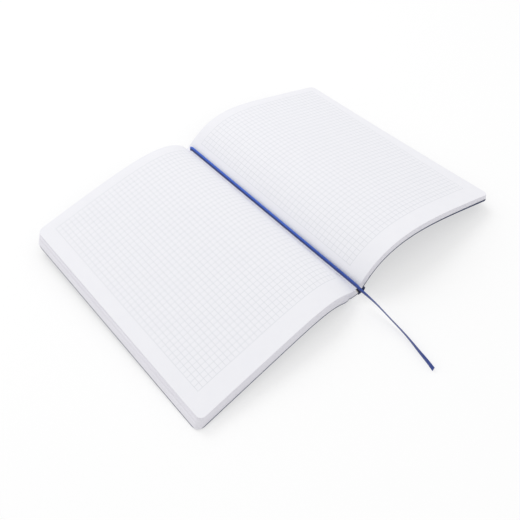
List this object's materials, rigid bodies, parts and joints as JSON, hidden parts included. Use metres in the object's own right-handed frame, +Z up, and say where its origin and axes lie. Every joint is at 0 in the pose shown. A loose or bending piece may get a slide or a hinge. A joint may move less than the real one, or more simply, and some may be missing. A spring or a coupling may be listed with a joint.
{
  "type": "notebook",
  "caption": "Soft-cover notebook of squared paper lying open, with arched page halves, rounded corners, a hollow cover spine and a ribbon marker.",
  "frame": {"origin": "on the table, under the middle of the open notebook", "axes": "+X from the front half to the back half, +Y from the tail to the head along the spine, +Z up"},
  "size_m": [0.364, 0.3395, 0.0406],
  "materials": {
    "squared_paper": "uncoated white writing paper, smooth",
    "page_edges": "trimmed edges of stacked leaves",
    "endpaper": "heavier uncoated paper",
    "cover_blue": "dark blue leatherette, matt, fine grain",
    "spine_lining": "glued gauze",
    "ribbon": "satin ribbon"
  },
  "bodies": {
    "spine": {"spine_cover": "cover_blue", "spine_lining": "spine_lining", "ribbon_marker": "ribbon"},
    "front_half_1": {"front_top_leaf_1": "squared_paper", "front_sections_1": "page_edges", "front_endpaper_1": "endpaper", "front_cover_1": "cover_blue"},
    "front_half_2": {"front_top_leaf_2": "squared_paper", "front_sections_2": "page_edges", "front_endpaper_2": "endpaper", "front_cover_2": "cover_blue"},
    "front_half_3": {"front_top_leaf_3": "squared_paper", "front_sections_3": "page_edges", "front_endpaper_3": "endpaper", "front_cover_3": "cover_blue"},
    "front_half_4": {"front_top_leaf_4": "squared_paper", "front_sections_4": "page_edges", "front_endpaper_4": "endpaper", "front_cover_4": "cover_blue"},
    "back_half_1": {"back_top_leaf_1": "squared_paper", "back_sections_1": "page_edges", "back_endpaper_1": "endpaper", "back_cover_1": "cover_blue"},
    "back_half_2": {"back_top_leaf_2": "squared_paper", "back_sections_2": "page_edges", "back_endpaper_2": "endpaper", "back_cover_2": "cover_blue"},
    "back_half_3": {"back_top_leaf_3": "squared_paper", "back_sections_3": "page_edges", "back_endpaper_3": "endpaper", "back_cover_3": "cover_blue"},
    "back_half_4": {"back_top_leaf_4": "squared_paper", "back_sections_4": "page_edges", "back_endpaper_4": "endpaper", "back_cover_4": "cover_blue"}
  },
  "joints": [
    {"name": "front_half_turn", "type": "hinge", "parent": "spine", "child": "front_half_1", "pos_m": [0.00248, 0.00658, 0.0114], "axis": [0, 1, 0], "range_deg": [0, 29.3]},
    {"name": "front_bend_1", "type": "hinge", "parent": "front_half_1", "child": "front_half_2", "pos_m": [-0.0147, 0.005, 0.02463], "axis": [0.0107, 0.9999, 0.0132], "range_deg": [0, 43.53]},
    {"name": "front_bend_2", "type": "hinge", "parent": "front_half_2", "child": "front_half_3", "pos_m": [-0.04185, 0.00299, 0.03051], "axis": [0.0142, 0.9995, 0.0289], "range_deg": [0, 21.78]},
    {"name": "front_bend_3", "type": "hinge", "parent": "front_half_3", "child": "front_half_4", "pos_m": [-0.07976, 0.00026, 0.02917], "axis": [0.0139, 0.9991, 0.0401], "range_deg": [0, 6.26]},
    {"name": "back_half_turn", "type": "hinge", "parent": "spine", "child": "back_half_1", "pos_m": [0.00488, 0.00658, 0.0114], "axis": [0, -1, 0], "range_deg": [0, 25.3]},
    {"name": "back_bend_1", "type": "hinge", "parent": "back_half_1", "child": "back_half_2", "pos_m": [0.02056, 0.00658, 0.02653], "axis": [-0.0123, -0.9999, 0.0117], "range_deg": [0, 39.28]},
    {"name": "back_bend_2", "type": "hinge", "parent": "back_half_2", "child": "back_half_3", "pos_m": [0.04654, 0.00658, 0.03623], "axis": [-0.0155, -0.9997, 0.0207], "range_deg": [0, 30.82]},
    {"name": "back_bend_3", "type": "hinge", "parent": "back_half_3", "child": "back_half_4", "pos_m": [0.0843, 0.00658, 0.03472], "axis": [-0.0149, -0.9992, 0.0377], "range_deg": [0, 13.66]}
  ],
  "couplings": [
    {"joint": "front_bend_1", "follows": "front_half_turn", "ratio": 1.484},
    {"joint": "front_bend_2", "follows": "front_half_turn", "ratio": 0.7416},
    {"joint": "front_bend_3", "follows": "front_half_turn", "ratio": 0.212},
    {"joint": "back_bend_1", "follows": "back_half_turn", "ratio": 1.5504},
    {"joint": "back_bend_2", "follows": "back_half_turn", "ratio": 1.2162},
    {"joint": "back_bend_3", "follows": "back_half_turn", "ratio": 0.5378}
  ]
}
